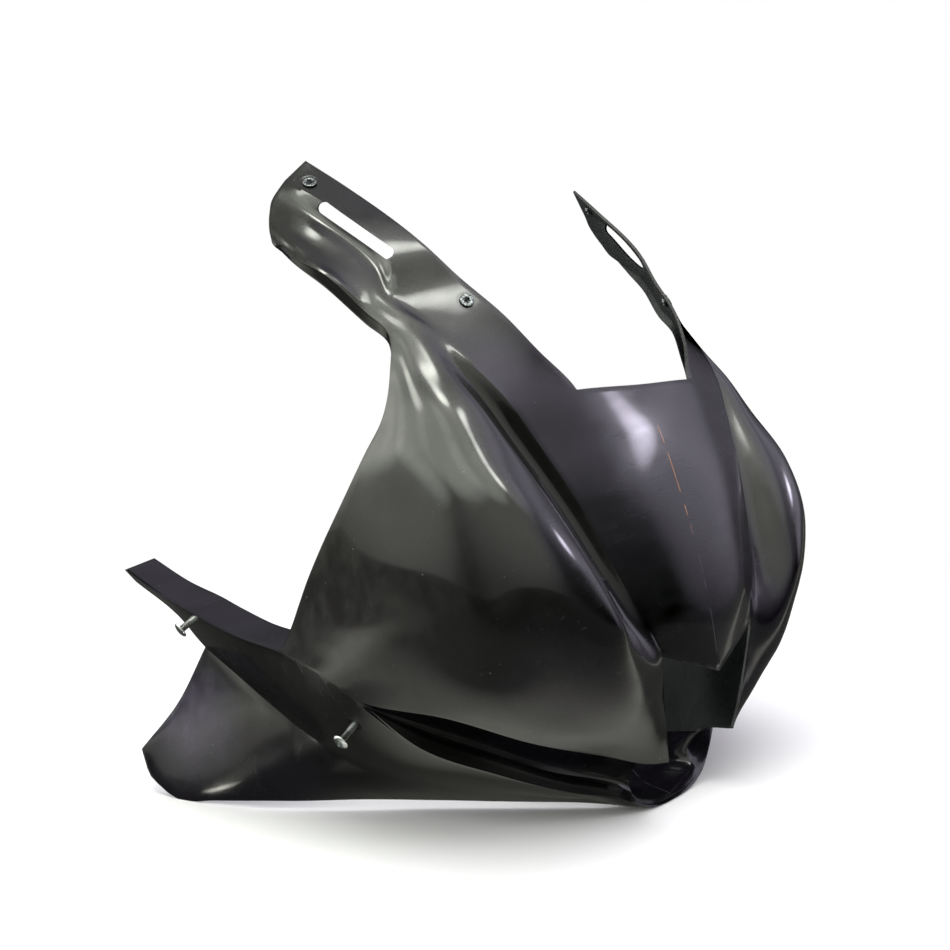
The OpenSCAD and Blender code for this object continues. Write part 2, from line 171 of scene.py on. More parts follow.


# Each patch has azimuth, elevation, inner and outer angle, and strength. They
# were fitted to reflections sampled in the photograph, then changed one by one.
reflected = ramp(tree, height, 0.05, 0.5, 0.12, 0.68)
for patch in [(-155, 14, 8, 26, 1.9), (-132, 28, 8, 20, 4.0), (-104, 34, 9, 19, 4.2), (-76, 50, 9, 18, 3.6),
              (-42, 60, 9, 18, 2.8), (-8, 62, 9, 20, 0.2), (26, 56, 8, 22, 1.7), (60, 40, 8, 26, 0.7),
              (-30, 26, 20, 55, 0.85), (61, 21, 1, 4, 16.0), (44, 12, 8, 28, -0.2), (-115, 2, 12, 40, 0.6),
              (-20, 86, 14, 30, 0.3), (-32, 72, 2, 6, 30.0), (-3, 61, 1, 5, 24.0), (-98, 53, 2, 7, 16.0),
              (129, 32, 15, 45, -0.4), (-118, 13, 10, 30, 1.0), (67, 11, 4, 14, 0.8)]:
    reflected = worked(tree, "ADD", reflected, glow(*patch))
rays = node(tree, "LightPath")
to_camera, glossy = rays.outputs["Is Camera Ray"], rays.outputs["Is Glossy Ray"]
strength = between(tree, to_camera, between(tree, glossy, 0.9, reflected), 1.0)
# Reflections are greenish from one side of the room and bluish from the other.
side_to_side = node(tree, "SeparateXYZ", {"Vector": way}).outputs["X"]
side_tint = tinted(tree, ramp(tree, side_to_side, -0.1, 0.5), "f6f9ee", "ece6fa")
seen_tint = tinted(tree, to_camera, side_tint, "ffffff")
light = node(tree, "Background", {"Color": seen_tint, "Strength": strength})
output = node(tree, "OutputWorld")
tree.links.new(light.outputs[0], output.inputs["Surface"])
bpy.context.scene.view_settings.view_transform = "Standard"


def soft_box(name, place, target, size, power):
    """Lamp that lights the moulding and isn't seen in its glossy faces."""
    data = bpy.data.lights.new(name, "AREA")
    data.shape = "RECTANGLE"
    data.size, data.size_y = size
    data.energy = power
    lamp = bpy.data.objects.new(name, data)
    lamp.location = place
    lamp.rotation_euler = (Vector(target) - Vector(place)).to_track_quat("-Z", "Y").to_euler()
    lamp.visible_glossy = False
    bpy.context.scene.collection.objects.link(lamp)


soft_box("box_over", (-0.3, -0.3, 2.6), (0, 0, 0.2), (2.4, 2.4), 60)
soft_box("box_left", (-2.3, 0.5, 1.3), (0, 0, 0.3), (1.2, 1.0), 22)
soft_box("box_right", (1.2, -2.3, 1.4), (0, 0, 0.3), (1.2, 1.2), 16)

# Moulded shell. One laminate moulding, laid up in a polished mould: the
# outside is black gelcoat, the inside bare resin and chopped strand, and
# every free edge is trimmed and lightly rounded.
# The control net is the one of the construction, in millimetres. Rails run
# down the left half from the arm tip to the cheek's lower edge.
LENGTH_MIDDLE = 218.87
WALL = 2.5
RIM = 11
FLANGE = 46
rail_centre = [None] * 6 + [
    (0, 67, 363), (0, 49, 328), (0, 28, 278), (0, 8, 222), (0, -5, 174), (0, -15, 122)]
rail_top = [
    (201, 269, 549), (190, 236, 528), (169, 167, 478), (157, 145, 455), (139, 111, 423), (122, 91, 396),
    (94, 71, 363), (86, 54, 328), (77, 31, 279), (68, 11, 223), (60, -2, 178), (44.8, -9, 137.1)]
rail_crease = [
    (222, 272, 532), (216, 237, 514), (198, 184, 474), (206, 166.2, 436.6), (194, 136, 412),
    (187, 110, 388), (173, 83, 358), (160, 66, 328), (139, 41, 280), (117, 19, 225), (100, 6, 186),
    (80, -4, 149), (73, -3, 110), (65, -2, 76), (58, 0, 54)]
rail_channel = [
    (229, 272, 525), (221, 243, 506), (203, 189, 463), (211.4, 168.2, 435.1), (201, 139.9, 412.4),
    (196.5, 117.4, 387), (184, 97, 357), (171, 80, 327), (150, 53, 280), (128, 26.6, 225),
    (111, 9.8, 186), (92, -5, 149), (84, -6, 109), (78, -1, 75), (72, 6, 55)]
rail_crown = [
    (238, 272, 514), (231, 243, 497), (215, 194, 459), (217, 170.7, 433), (208.4, 144.7, 412.5),
    (208.2, 120, 386.8), (204, 88, 356), (198, 65, 327), (187, 30, 280), (169, 1, 226), (155, -12, 187),
    (141, -13, 150), (122, -7, 110), (118, 7, 85), (118, 25, 70)]
rail_shoulder = [
    (243, 269, 506), (241, 242, 487), (226.6, 198.8, 456.6), (221.8, 173.4, 430.7),
    (214.6, 149.5, 412.2), (219.5, 128.5, 385.5), (223, 97, 355), (220, 70, 326), (216, 29, 280),
    (212, 6, 227), (206, 4, 190), (200, 13, 158), (190, 25, 125), (187, 36, 107), (185, 50, 93)]
rail_front = [
    (249, 264, 496), (249, 240, 480), (235.7, 202.3, 455.3), (225.8, 175.4, 429.1),
    (219.5, 153.7, 411.7), (228, 137.5, 383.8), (238.8, 116.9, 352.8), (245, 98, 325), (249, 64, 280),
    (251, 46, 229), (250, 42, 196), (249, 50, 172), (248, 60, 147), (247, 72, 133), (246, 87, 121)]
rail_flank = [
    (254, 257, 485), (252.4, 239.2, 474.8), (242.5, 204.2, 455.1), (228.9, 177.2, 427.6),
    (223.2, 157.3, 411.2), (231.8, 145.5, 382.4), (244.8, 133.4, 349.5), (255, 125, 322),
    (262, 117, 280), (267, 106, 234), (268, 110, 204), (269, 118, 184), (269, 126, 165),
    (269, 136, 148), (268, 155, 127)]
rail_rear = [
    (257, 247, 478), (254.6, 234.8, 469.6), (245.7, 206.8, 455), (231, 178.5, 426.5),
    (225.8, 159.8, 410.7), (233.5, 151.2, 381.5), (246.3, 148.6, 345.2), (256.4, 158.2, 317.7),
    (264, 174, 282), (267, 198, 238), (268, 212, 210), (269, 220, 190), (270, 227, 173),
    (271, 232, 162), (272, 237, 154)]
rim_way = [
    (-0.2, 0.1, -0.2), (-0.2, 0.1, -0.4), (-0.2, 0.1, -0.95), (-0.2, 0.1, -0.9), (-0.3, 0.2, -0.8),
    (-0.5, 0.4, -0.3), *[(-0.5, 0.4, 0)] * 5, (-0.5, 0.4, 0.1), (-0.45, 0.3, 0.2), (-0.35, 0.2, 0.25),
    (-0.3, 0.1, 0.25)]
rail_rim = [tuple(p + RIM * w for p, w in zip(point, way)) for point, way in zip(rail_rear, rim_way)]
rails = [rail_centre, rail_top, rail_crease, rail_channel, rail_crown, rail_shoulder, rail_front,
         rail_flank, rail_rear, rail_rim]

# Lines run back along the lower body, from the middle of the chin to the
# rear corner of the wing.
line_chin = [
    (0, 25, 1), (36, 27, 3), (56, 29, 10), (78, 35, 21), (118, 51, 33), (190, 80, 63), (240, 117, 90),
    (268, 155, 127), (272, 237, 154), (273, 285, 160), (271, 325, 167), (270.5, 338, 170),
    (270, 350, 173), (268, 390, 182), (265, 437, 197)]
flange_back = [0, 5, 2, 2, 2, 10, 15]
flange_edge = [(x - FLANGE, y + back, z + 2) for (x, y, z), back in zip(line_chin[8:], flange_back)]
line_ceiling = [
    (0, 84, 34), (36, 82, 38), (56, 30, 47), (74, 38, 58), (114, 62, 76), (176, 88, 100), (232, 116, 122),
    line_chin[7], line_chin[8]]
line_floor = [
    (0, 60, 10), (36, 60, 15), (51, 42, 22), (71, 58, 30), (108, 80, 42), (170, 106, 72), (221, 134, 98),
    line_chin[7], *flange_edge]
line_lip = [
    (0, 32, 4), (36, 34, 8), (54, 36, 15), (77, 43, 24), (114, 60, 37), (182, 89, 67), (232, 123, 93),
    line_chin[7], *[tuple((p + q) / 2 for p, q in zip(a, b)) for a, b in zip(line_chin[8:], flange_edge)]]
line_waist = [
    (0, 30, 0.5), (36, 34, 1.5), (57, 37, 7), (77, 47, 16), (115, 68, 26), (183, 105, 50),
    (228, 146, 70), (248, 182, 92), (254, 241, 114), (255, 288, 128), (256, 325, 141),
    (256.5, 339, 147), (257, 352, 153), (259, 386, 171), (261, 434, 191)]
line_valley = [
    (0, 34, 0.5), (36, 39, 1), (58, 46, 6), (76, 59, 13), (112, 84, 21), (174, 130, 37), (214, 172, 50),
    (229, 207, 61), (234, 246, 76), (237, 290, 97), (241, 325, 117), (243, 341, 126), (245, 356, 135),
    (251, 383, 160), (258, 431, 186)]
line_lower = [
    (0, 38, 1), (36, 43, 2), (57, 54, 5), (74, 70, 8), (108, 103, 13), (162, 155, 22), (203, 199, 28),
    (226, 237, 33), (236, 271, 40), (245, 312, 48), (252, 348, 60), (255, 369, 70), (256, 382, 82)]
line_bottom = [
    (0, 42, 2), (36, 48, 3), (55, 62, 4), (72, 82, 5), (104, 122, 6), (150, 180, 8), (190, 226, 10),
    (220, 264, 9), (240, 295, 8), (256, 335, 4), (266, 373, 0), (269, 404, 17), (270, 413, 40)]
line_tuck = [None] * 10 + [(262, 378, 0), (264, 411, 12), (266, 420, 36)]
lines = [line_ceiling, line_floor, line_lip, line_chin, line_waist, line_valley, line_lower, line_bottom,
         line_tuck]

# Rows of the net, from the arm tip down, and its columns, from the middle out.
SCREEN, INTAKE, EDGE = 6, 11, 14
CEILING, FLOOR, LIP, CHIN, VALLEY, BOTTOM, TUCK = 15, 16, 17, 18, 20, 22, 23
CREASE, CLOSE, REAR, ARCH, LAST = 2, 7, 8, 12, 14
SHARP_ROWS = (EDGE, LIP, CHIN, VALLEY, BOTTOM)


def net(row, column):
    point = rails[column][row] if row <= EDGE else lines[row - CEILING][column]
    return np.array(point, float)


def first_column(row):
    if row < SCREEN:
        return 1
    if row <= INTAKE:
        return 0
    if row <= EDGE:
        return CREASE
    return 10 if row > BOTTOM else 0


def last_column(row):
    if row <= EDGE:
        return REAR + 1
    if row == CEILING:
        return REAR
    return LAST if row <= VALLEY else ARCH


def has(row, u):
    return 0 <= row <= TUCK and first_column(row) <= u <= last_column(row)


def span(a, b):
    return max(np.linalg.norm(b - a), 0.001)


def slope(p, q, r):
    a, b = span(p, q), span(q, r)
    return ((q - p) * b / a + (r - q) * a / b) / (a + b)


def end_slope(p, q):
    return (q - p) / span(p, q)


def hermite(p, q, m, n, t):
    d = span(p, q)
    return ((2 * t**3 - 3 * t**2 + 1) * p + (t**3 - 2 * t**2 + t) * d * m
            + (3 * t**2 - 2 * t**3) * q + (t**3 - t**2) * d * n)


def stops(row, column):
    crease = column == CREASE and row < LIP
    return crease or (column == REAR and row <= EDGE)


def slope_across(row, column, side):
    here = net(row, column)
    if column == 0 and row != INTAKE:
        right = net(row, 1)
        return slope(right * (-1, 1, 1), here, right)
    low = column > first_column(row) and not (stops(row, column) and side > 0)
    high = column < last_column(row) and not (stops(row, column) and side < 0)
    if low and high:
        return slope(net(row, column - 1), here, net(row, column + 1))
    return end_slope(here, net(row, column + 1)) if high else end_slope(net(row, column - 1), here)


def row_point(row, u):
    shut = EDGE <= row < CHIN and (CLOSE <= u < REAR or (u == REAR and row < FLOOR))
    row = CHIN if shut else row
    column = min(int(u), last_column(row) - 1)
    return hermite(net(row, column), net(row, column + 1), slope_across(row, column, 1),
                   slope_across(row, column + 1, -1), u - column)


def slope_down(row, u, side):
    here = row_point(row, u)
    low = has(row - 1, u) and not (row in SHARP_ROWS and side > 0)
    high = has(row + 1, u) and not (row in SHARP_ROWS and side < 0)
    if low and high:
        return slope(row_point(row - 1, u), here, row_point(row + 1, u))
    return end_slope(here, row_point(row + 1, u)) if high else end_slope(row_point(row - 1, u), here)


# The fine mesh has this many steps from one column or row to the next.
steps_across = [9, 10, 4, 7, 8, 9, 8, 7, 5, 6, 3, 3, 5, 6]
steps_down = [11, 14, 6, 7, 7, 8, 8, 11, 12, 9, 8, 8, 7, 5, 6, 5, 6, 4, 6, 6, 7, 7, 3]
us = [i + k / n for i, n in enumerate(steps_across) for k in range(n)] + [LAST]
vs = [(j, k / n) for j, n in enumerate(steps_down) for k in range(n)] + [(TUCK, 0.0)]
row_start = np.cumsum([0] + steps_down)
column_start = np.cumsum([0] + steps_across)


def filled(a, b):
    row, u, u_next = vs[b][0], us[a], us[a + 1]
    inside = all(has(r, w) for r in (row, row + 1) for w in (u, u_next))
    past_rear = row in (EDGE, CEILING) and u >= REAR
    pinched = CLOSE <= u < REAR and EDGE <= row < CHIN
    return inside and not past_rear and not pinched


columns, rows = len(us), len(vs)
cells = np.zeros((columns + 1, rows + 1), bool)
for a in range(columns - 1):
    for b in range(rows - 1):
        cells[a, b] = filled(a, b)
outer = np.zeros((columns, rows, 3))
for a, u in enumerate(us):
    for j in range(TUCK + 1):
        if not has(j, u):
            continue
        last = not has(j + 1, u)
        here = row_point(j, u)
        if not last:
            below, m, n = row_point(j + 1, u), slope_down(j, u, 1), slope_down(j + 1, u, -1)
        for k in range(steps_down[j] if j < TUCK and not last else 1):
            outer[a, row_start[j] + k] = here if last else hermite(here, below, m, n, k / steps_down[j])


# Where the recess has run out, its rows meet in one vertex.
def closed(a, b):
    shut = column_start[CLOSE] <= a <= column_start[REAR] and row_start[EDGE] <= b <= row_start[CHIN]
    return shut and not (a == column_start[REAR] and row_start[FLOOR] <= b < row_start[CHIN])


def same_as(a, b):
    return (a, row_start[CHIN]) if closed(a, b) else (a, b)


normals = {}
for a in range(columns - 1):
    for b in range(rows - 1):
        if cells[a, b]:
            way = np.cross(outer[a, b + 1] - outer[a + 1, b], outer[a + 1, b + 1] - outer[a, b])
            way /= max(np.linalg.norm(way), 1e-9)
            for corner in {same_as(a, b), same_as(a + 1, b), same_as(a, b + 1), same_as(a + 1, b + 1)}:
                normals.setdefault(corner, []).append(way)

OUTSIDE, INSIDE, TRIM = 0, 1, 2
FOLD_LIMIT = math.radians(24)
RIM_SOFTNESS = 0.45
THINNEST_LEAN = 0.65
shell_mesh = bmesh.new()
crease_weight = shell_mesh.edges.layers.float.new("bevel_weight_edge")
vertices = {}


def vertex(a, b, layer, half):
    key = (*same_as(a, b), layer, half if a else 0)
    if key not in vertices:
        point = outer[key[0], key[1]].copy()
        if layer:
            total = np.sum(normals[key[:2]], axis=0)
            lean = np.linalg.norm(total) / len(normals[key[:2]])
            total[0] = 0 if a == 0 else total[0]
            point -= total / max(np.linalg.norm(total), 1e-9) * WALL / max(lean, THINNEST_LEAN)
        point -= (0, LENGTH_MIDDLE, 0)
        point[0] *= -1 if half else 1
        point[2] = max(point[2], 0)
        vertices[key] = shell_mesh.verts.new(point / 1000)
    return vertices[key]


def face(corners, flip, slot):
    ring = list(dict.fromkeys(corners))
    if len(ring) < 3:
        return
    made = shell_mesh.faces.get(ring) or shell_mesh.faces.new(ring[::-1] if flip else ring)
    made.material_index = slot
    made.smooth = True


def beside(a, b):
    above = row_start[EDGE] - 1 if closed(a, b) and closed(a + 1, b) else b - 1
    below = row_start[CHIN] if closed(a, b + 1) and closed(a + 1, b + 1) else b + 1
    return cells[a, above], cells[a + 1, b], cells[a, below], a == 0 or cells[a - 1, b]


for half in (0, 1):
    for a in range(columns - 1):
        for b in range(rows - 1):
            if not cells[a, b]:
                continue
            corner = [(a, b), (a + 1, b), (a + 1, b + 1), (a, b + 1)]
            face([vertex(*c, OUTSIDE, half) for c in corner], half == 1, OUTSIDE)
            face([vertex(*c, INSIDE, half) for c in corner], half == 0, INSIDE)
            for k, covered in enumerate(beside(a, b)):
                p, q = corner[k], corner[(k + 1) % 4]
                if not covered and same_as(*p) != same_as(*q):
                    way_round = (*q, OUTSIDE), (*p, OUTSIDE), (*p, INSIDE), (*q, INSIDE)
                    face([vertex(*c, half) for c in way_round], half == 1, TRIM)

shell_mesh.normal_update()
for edge in shell_mesh.edges:
    if len(edge.link_faces) == 2 and edge.calc_face_angle(0) > FOLD_LIMIT:
        at_rim = any(f.material_index == TRIM for f in edge.link_faces)
        edge[crease_weight] = RIM_SOFTNESS if at_rim else 1.0
mesh = bpy.data.meshes.new("shell")
shell_mesh.to_mesh(mesh)
shell_mesh.free()


# Places of the fasteners and slots on the outer face, as rail and row.
def surface(u, v):
    row, t = int(v), v - int(v)
    if t < 0.0001:
        return row_point(row, u)
    return hermite(row_point(row, u), row_point(row + 1, u),
                   slope_down(row, u, 1), slope_down(row + 1, u, -1), t)


def seat(u, v, left):
    """Frame on the outer face in metres: Z outward, X down the moulding."""
    down = surface(u, v + 0.02) - surface(u, v - 0.02)
    over = surface(u + 0.02, v) - surface(u - 0.02, v)
    point = surface(u, v) - (0, LENGTH_MIDDLE, 0)
    flip = np.array((left, 1, 1))
    z = Vector(np.cross(down, over) * flip).normalized()
    x = Vector(down * flip).normalized()
    y = z.cross(x)
    frame_here = Matrix((x, y, z)).transposed().to_4x4() * 0.001
    frame_here.translation = Vector(point * flip) * 0.001
    frame_here[3][3] = 1
    return frame_here


SIDES = {"right": -1, "left": 1}
INSERTS = {"upper": (1.62, 0.45), "lower": (1.24, 3.52)}
STUDS = {"front": (7.05, 19.07), "rear": (12.2, 18.84)}
SLOT = (2.45, 1.52)
SLOT_LENGTH, SLOT_WIDTH = 75, 10
INSERT_HOLE, STUD_HOLE = 4.15, 3.3
HOLE_REACH, SLOT_REACH = 8, 20

cutters = bmesh.new()


def cut(outline, depth, place):
    low = [cutters.verts.new(place @ Vector((x, y, -depth))) for x, y in outline]
    high = [cutters.verts.new(place @ Vector((x, y, depth))) for x, y in outline]
    faces = [cutters.faces.new(low[::-1]), cutters.faces.new(high)]
    for k in range(len(outline)):
        n = (k + 1) % len(outline)
        faces.append(cutters.faces.new((low[k], low[n], high[n], high[k])))
    for one in faces:
        one.material_index = TRIM


def circle(radius, steps=40):
    angles = np.arange(steps) * 2 * math.pi / steps
    return [(radius * math.cos(t), radius * math.sin(t)) for t in angles]


for left in SIDES.values():
    for at in INSERTS.values():
        cut(circle(INSERT_HOLE), HOLE_REACH, seat(*at, left))
    for at in STUDS.values():
        cut(circle(STUD_HOLE), HOLE_REACH, seat(*at, left))
    reach, half = (SLOT_LENGTH - SLOT_WIDTH) / 2, SLOT_WIDTH / 2
    turns = np.linspace(-math.pi / 2, math.pi / 2, 13)
    outline = [(reach + half * math.cos(t), half * math.sin(t)) for t in turns]
    cut(outline + [(-x, -y) for x, y in outline], SLOT_REACH, seat(*SLOT, left))
cutter_mesh = bpy.data.meshes.new("holes")
bmesh.ops.recalc_face_normals(cutters, faces=cutters.faces)
cutters.to_mesh(cutter_mesh)
cutters.free()
holes = bpy.data.objects.new("holes", cutter_mesh)
bpy.context.scene.collection.objects.link(holes)

# Gelcoat. Sprayed first into the polished mould, then rubbed and waxed, so
# it is glossy with a soft haze, rubbing marks, a few scratches and dust.
gelcoat, tree, place = new_material("gelcoat")
where = node(tree, "SeparateXYZ", {"Vector": place})
haze = noise(tree, place, 7.0, 3.0)
wiped = node(tree, "Mapping", {"Vector": place, "Rotation": (0.5, 0.3, 0.9), "Scale": (14, 90, 60)})
wipe = noise(tree, wiped.outputs[0], 1.0, 6.0)
rubbed = ramp(tree, wipe, 0.35, 0.75, -0.05, 0.12)
rough = worked(tree, "ADD", ramp(tree, haze, 0.3, 0.72, 0.14, 0.26), rubbed)
scratched = node(tree, "Mapping", {"Vector": place, "Rotation": (0.2, 1.1, 0.4), "Scale": (9, 260, 150)})
fine = noise(tree, scratched.outputs[0], 1.0, 2.0)
scratch = worked(tree, "MULTIPLY", ramp(tree, fine, 0.7, 0.74), ramp(tree, haze, 0.5, 0.6))
speck = node(tree, "TexVoronoi", {"Vector": place, "Scale": 170.0}).outputs["Distance"]
sparse = ramp(tree, noise(tree, place, 61.0, 1.0), 0.64, 0.72, 0.0, 0.6)
dust = worked(tree, "MULTIPLY", ramp(tree, speck, 0.13, 0.05), sparse)
cloud = noise(tree, place, 5.0, 2.0)
deep = tinted(tree, ramp(tree, cloud, 0.4, 0.65), "050605", "0d0c0a")
# The lower flank has a faint violet cast.
low_down = worked(tree, "MULTIPLY", ramp(tree, where.outputs["Z"], 0.26, 0.1), ramp(tree, cloud, 0.35, 0.7))
cast = tinted(tree, low_down, deep, "100d16")
# Resin line where the two halves of the mould met, brown in short runs and
# grey lower down.
off_middle = node(tree, "Math", {0: where.outputs["X"]}, operation="ABSOLUTE").outputs[0]
dash = ramp(tree, noise(tree, place, 95.0, 0.0), 0.5, 0.56)
line = worked(tree, "MULTIPLY", ramp(tree, off_middle, 0.0007, 0.00035), dash)
line = worked(tree, "MULTIPLY", line, ramp(tree, where.outputs["Z"], 0.335, 0.325))
resin_tint = tinted(tree, ramp(tree, where.outputs["Z"], 0.235, 0.26), "34343a", "a06c3c")
lined = tinted(tree, line, cast, resin_tint)
# The tail of one wing shows a violet haze, which is a painted reflection in the
# gelcoat's colour.
violet_reflection_near = ramp(tree, distance(tree, place, (-0.252, 0.145, 0.072)), 0.058, 0.012)
painted_violet_reflection = worked(tree, "MULTIPLY", violet_reflection_near, ramp(tree, wipe, 0.3, 0.6, 0.5, 1.0))
with_violet_reflection = tinted(tree, painted_violet_reflection, lined, "34303e")
pale = worked(tree, "MAXIMUM", worked(tree, "MULTIPLY", scratch, 0.05), dust)
dusty = tinted(tree, pale, with_violet_reflection, "6b6d6c")
swell = noise(tree, place, 16.0, 2.0)
grain = noise(tree, place, 420.0, 2.0)
lift = worked(tree, "ADD", swell, ramp(tree, grain, 0.0, 1.0, 0.0, 0.012))
# The gelcoat sinks a little round each insert pressed into the arms.
folded_over = node(tree, "CombineXYZ", {"X": off_middle, "Y": where.outputs["Y"], "Z": where.outputs["Z"]})
for insert in INSERTS.values():
    reach = distance(tree, folded_over.outputs[0], seat(*insert, 1).translation)
    lift = worked(tree, "ADD", lift, ramp(tree, reach, 0.0058, 0.0088, -2.2, 0.0))
bump = node(tree, "Bump", {"Strength": 0.35, "Distance": 0.0006, "Height": lift})
finish_material(tree, node(tree, "BsdfPrincipled", {
    "Base Color": dusty, "Roughness": rough, "IOR": 1.5, "Specular IOR Level": 0.25,
    "Coat Weight": 0.5, "Coat Roughness": 0.07, "Coat IOR": 1.5, "Normal": bump.outputs[0]}))

# Back of the laminate: chopped strand mat wetted with dark resin, rough.
laminate, tree, place = new_material("laminate")
strands = []
for turn in (0.3, 1.3, 2.3):
    laid = node(tree, "Mapping", {
        "Vector": place, "Rotation": (turn, turn * 0.7, turn * 1.9), "Scale": (60, 900, 900)})
    strands.append(noise(tree, laid.outputs[0], 1.0, 2.0))
mat = worked(tree, "MAXIMUM", worked(tree, "MAXIMUM", strands[0], strands[1]), strands[2])
wet = noise(tree, place, 22.0, 4.0)
resin = tinted(tree, ramp(tree, mat, 0.55, 0.78), "191b1c", "3c3f43")
# Painted shade: the inside is darker low down, where it is nearly black behind the intake.
DEEPEST_PAINTED_SHADE = 0.62
low_down = ramp(tree, node(tree, "SeparateXYZ", {"Vector": place}).outputs["Z"], 0.42, 0.26, 0.0, DEEPEST_PAINTED_SHADE)
bump = node(tree, "Bump", {"Strength": 0.9, "Distance": 0.0007, "Height": mat})
finish_material(tree, node(tree, "BsdfPrincipled", {
    "Base Color": tinted(tree, low_down, resin, "060707"),
    "Roughness": ramp(tree, wet, 0.35, 0.65, 0.4, 0.7),
    "Specular IOR Level": ramp(tree, low_down, 0.0, DEEPEST_PAINTED_SHADE, 0.35, 0.14), "Normal": bump.outputs[0]}))

# Trimmed edge: sawn and sanded, the cut strands show as pale points.
trimmed, tree, place = new_material("trimmed_edge")
ends = noise(tree, place, 1400.0, 2.0)
layers = noise(tree, place, 240.0, 3.0)
bump = node(tree, "Bump", {"Strength": 0.8, "Distance": 0.0004, "Height": layers})
finish_material(tree, node(tree, "BsdfPrincipled", {
    "Base Color": tinted(tree, ramp(tree, ends, 0.58, 0.7), "191a1b", "5a5c5c"),
    "Roughness": ramp(tree, layers, 0.3, 0.7, 0.35, 0.6), "Normal": bump.outputs[0]}))

for material in (gelcoat, laminate, trimmed):
    mesh.materials.append(material)
    cutter_mesh.materials.append(material)
blank = bpy.data.objects.new("shell_blank", mesh)
bpy.context.scene.collection.objects.link(blank)
rounding = blank.modifiers.new("rounding", "BEVEL")
rounding.limit_method = "WEIGHT"
rounding.width = 0.0018
rounding.segments = 3
drilling = blank.modifiers.new("drilling", "BOOLEAN")
drilling.operation = "DIFFERENCE"
drilling.solver = "EXACT"
drilling.object = holes
drilling.material_mode = "INDEX"


def settle(source, name):
    """Mesh of the object with its modifiers, as a plain object."""
    graph = bpy.context.evaluated_depsgraph_get()
    made = bpy.data.meshes.new_from_object(source.evaluated_get(graph))
    made.name = name
    settled = bpy.data.objects.new(name, made)
    bpy.context.scene.collection.objects.link(settled)
    bpy.data.objects.remove(source)
    return settled


shell = settle(blank, "shell")
bpy.data.objects.remove(holes)
shell.data.set_sharp_from_angle(angle=math.radians(40))
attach(shell, "panel")
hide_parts("fairing_shell")

# Screen inserts. Zinc plated steel rivet nuts: turned head, barrel with an
# M5 thread, crimped behind the laminate to a round bulb.
zinc, tree, place = new_material("insert_zinc")
patch = noise(tree, place, 700.0, 3.0)
turned = noise(tree, place, 2600.0, 1.0)
bump = node(tree, "Bump", {"Strength": 0.6, "Distance": 0.0002, "Height": patch})
finish_material(tree, node(tree, "BsdfPrincipled", {
    "Base Color": tinted(tree, ramp(tree, patch, 0.4, 0.62), "36393a", "8b8f90"), "Metallic": 1.0,
    "Roughness": ramp(tree, turned, 0.3, 0.7, 0.24, 0.42), "Normal": bump.outputs[0]}))


def turned_part(name, profile, place, steps=72, start=0.0, sweep=2 * math.pi):
    """Turned solid: profile of (radius, height) in mm, run round the Z axis of the place."""
    made = bmesh.new()
    closed_ring = abs(sweep - 2 * math.pi) < 0.001
    count = steps if closed_ring else steps + 1
    angles = [start + sweep * k / steps for k in range(count)]
    loops = []
    for radius, height in profile:
        if radius < 0.001:
            loops.append([made.verts.new(place @ Vector((0, 0, height)))] * count)
        else:
            round_axis = [(radius * math.cos(t), radius * math.sin(t), height) for t in angles]
            loops.append([made.verts.new(place @ Vector(point)) for point in round_axis])
    open_axis = profile[0][0] < 0.001 and profile[-1][0] < 0.001
    pairs = list(zip(loops, loops[1:])) + ([] if open_axis else [(loops[-1], loops[0])])
    for low, high in pairs:
        for k in range(steps):
            n = (k + 1) % count
            ring = list(dict.fromkeys((low[k], low[n], high[n], high[k])))
            if len(ring) > 2:
                made.faces.new(ring).smooth = True
    if not closed_ring:
        made.faces.new([loop[0] for loop in loops][::-1])
        made.faces.new([loop[-1] for loop in loops])
    bmesh.ops.recalc_face_normals(made, faces=made.faces)
    data = bpy.data.meshes.new(name)
    made.to_mesh(data)
    made.free()
    data.set_sharp_from_angle(angle=math.radians(50))
    part = bpy.data.objects.new(name, data)
    bpy.context.scene.collection.objects.link(part)
    return part


# The thread is a ridge that follows a helix inside the bore.
thread = bpy.data.node_groups.new("thread_ridge", "GeometryNodeTree")
thread.interface.new_socket("Geometry", in_out="INPUT", socket_type="NodeSocketGeometry")
for label, value in (("Radius", 2.34), ("Pitch", 0.8), ("Length", 5.6), ("Ridge", 0.3)):
    thread.interface.new_socket(label, in_out="INPUT", socket_type="NodeSocketFloat").default_value = value
thread.interface.new_socket("Material", in_out="INPUT", socket_type="NodeSocketMaterial")
thread.interface.new_socket("Geometry", in_out="OUTPUT", socket_type="NodeSocketGeometry")
inlet, outlet = thread.nodes.new("NodeGroupInput"), thread.nodes.new("NodeGroupOutput")
turns = thread.nodes.new("ShaderNodeMath")
turns.operation = "DIVIDE"
helix = thread.nodes.new("GeometryNodeCurveSpiral")
helix.inputs["Resolution"].default_value = 32
ridge = thread.nodes.new("GeometryNodeCurvePrimitiveCircle")
ridge.inputs["Resolution"].default_value = 4
sweep = thread.nodes.new("GeometryNodeCurveToMesh")
sweep.inputs["Fill Caps"].default_value = True
solid = thread.nodes.new("GeometryNodeRealizeInstances")
painted = thread.nodes.new("GeometryNodeSetMaterial")
for source, target in (
        (inlet.outputs["Length"], turns.inputs[0]),
        (inlet.outputs["Pitch"], turns.inputs[1]),
        (turns.outputs[0], helix.inputs["Rotations"]),
        (inlet.outputs["Radius"], helix.inputs["Start Radius"]),
        (inlet.outputs["Radius"], helix.inputs["End Radius"]),
        (inlet.outputs["Length"], helix.inputs["Height"]),
        (inlet.outputs["Ridge"], ridge.inputs["Radius"]),
        (helix.outputs[0], sweep.inputs["Curve"]),
        (ridge.outputs["Curve"], sweep.inputs["Profile Curve"]),
        (sweep.outputs[0], solid.inputs[0]),
        (solid.outputs[0], painted.inputs["Geometry"]),
        (inlet.outputs["Material"], painted.inputs["Material"]),
        (painted.outputs[0], outlet.inputs[0])):
    thread.links.new(source, target)
material_key = next(i.identifier for i in thread.interface.items_tree if i.name == "Material")

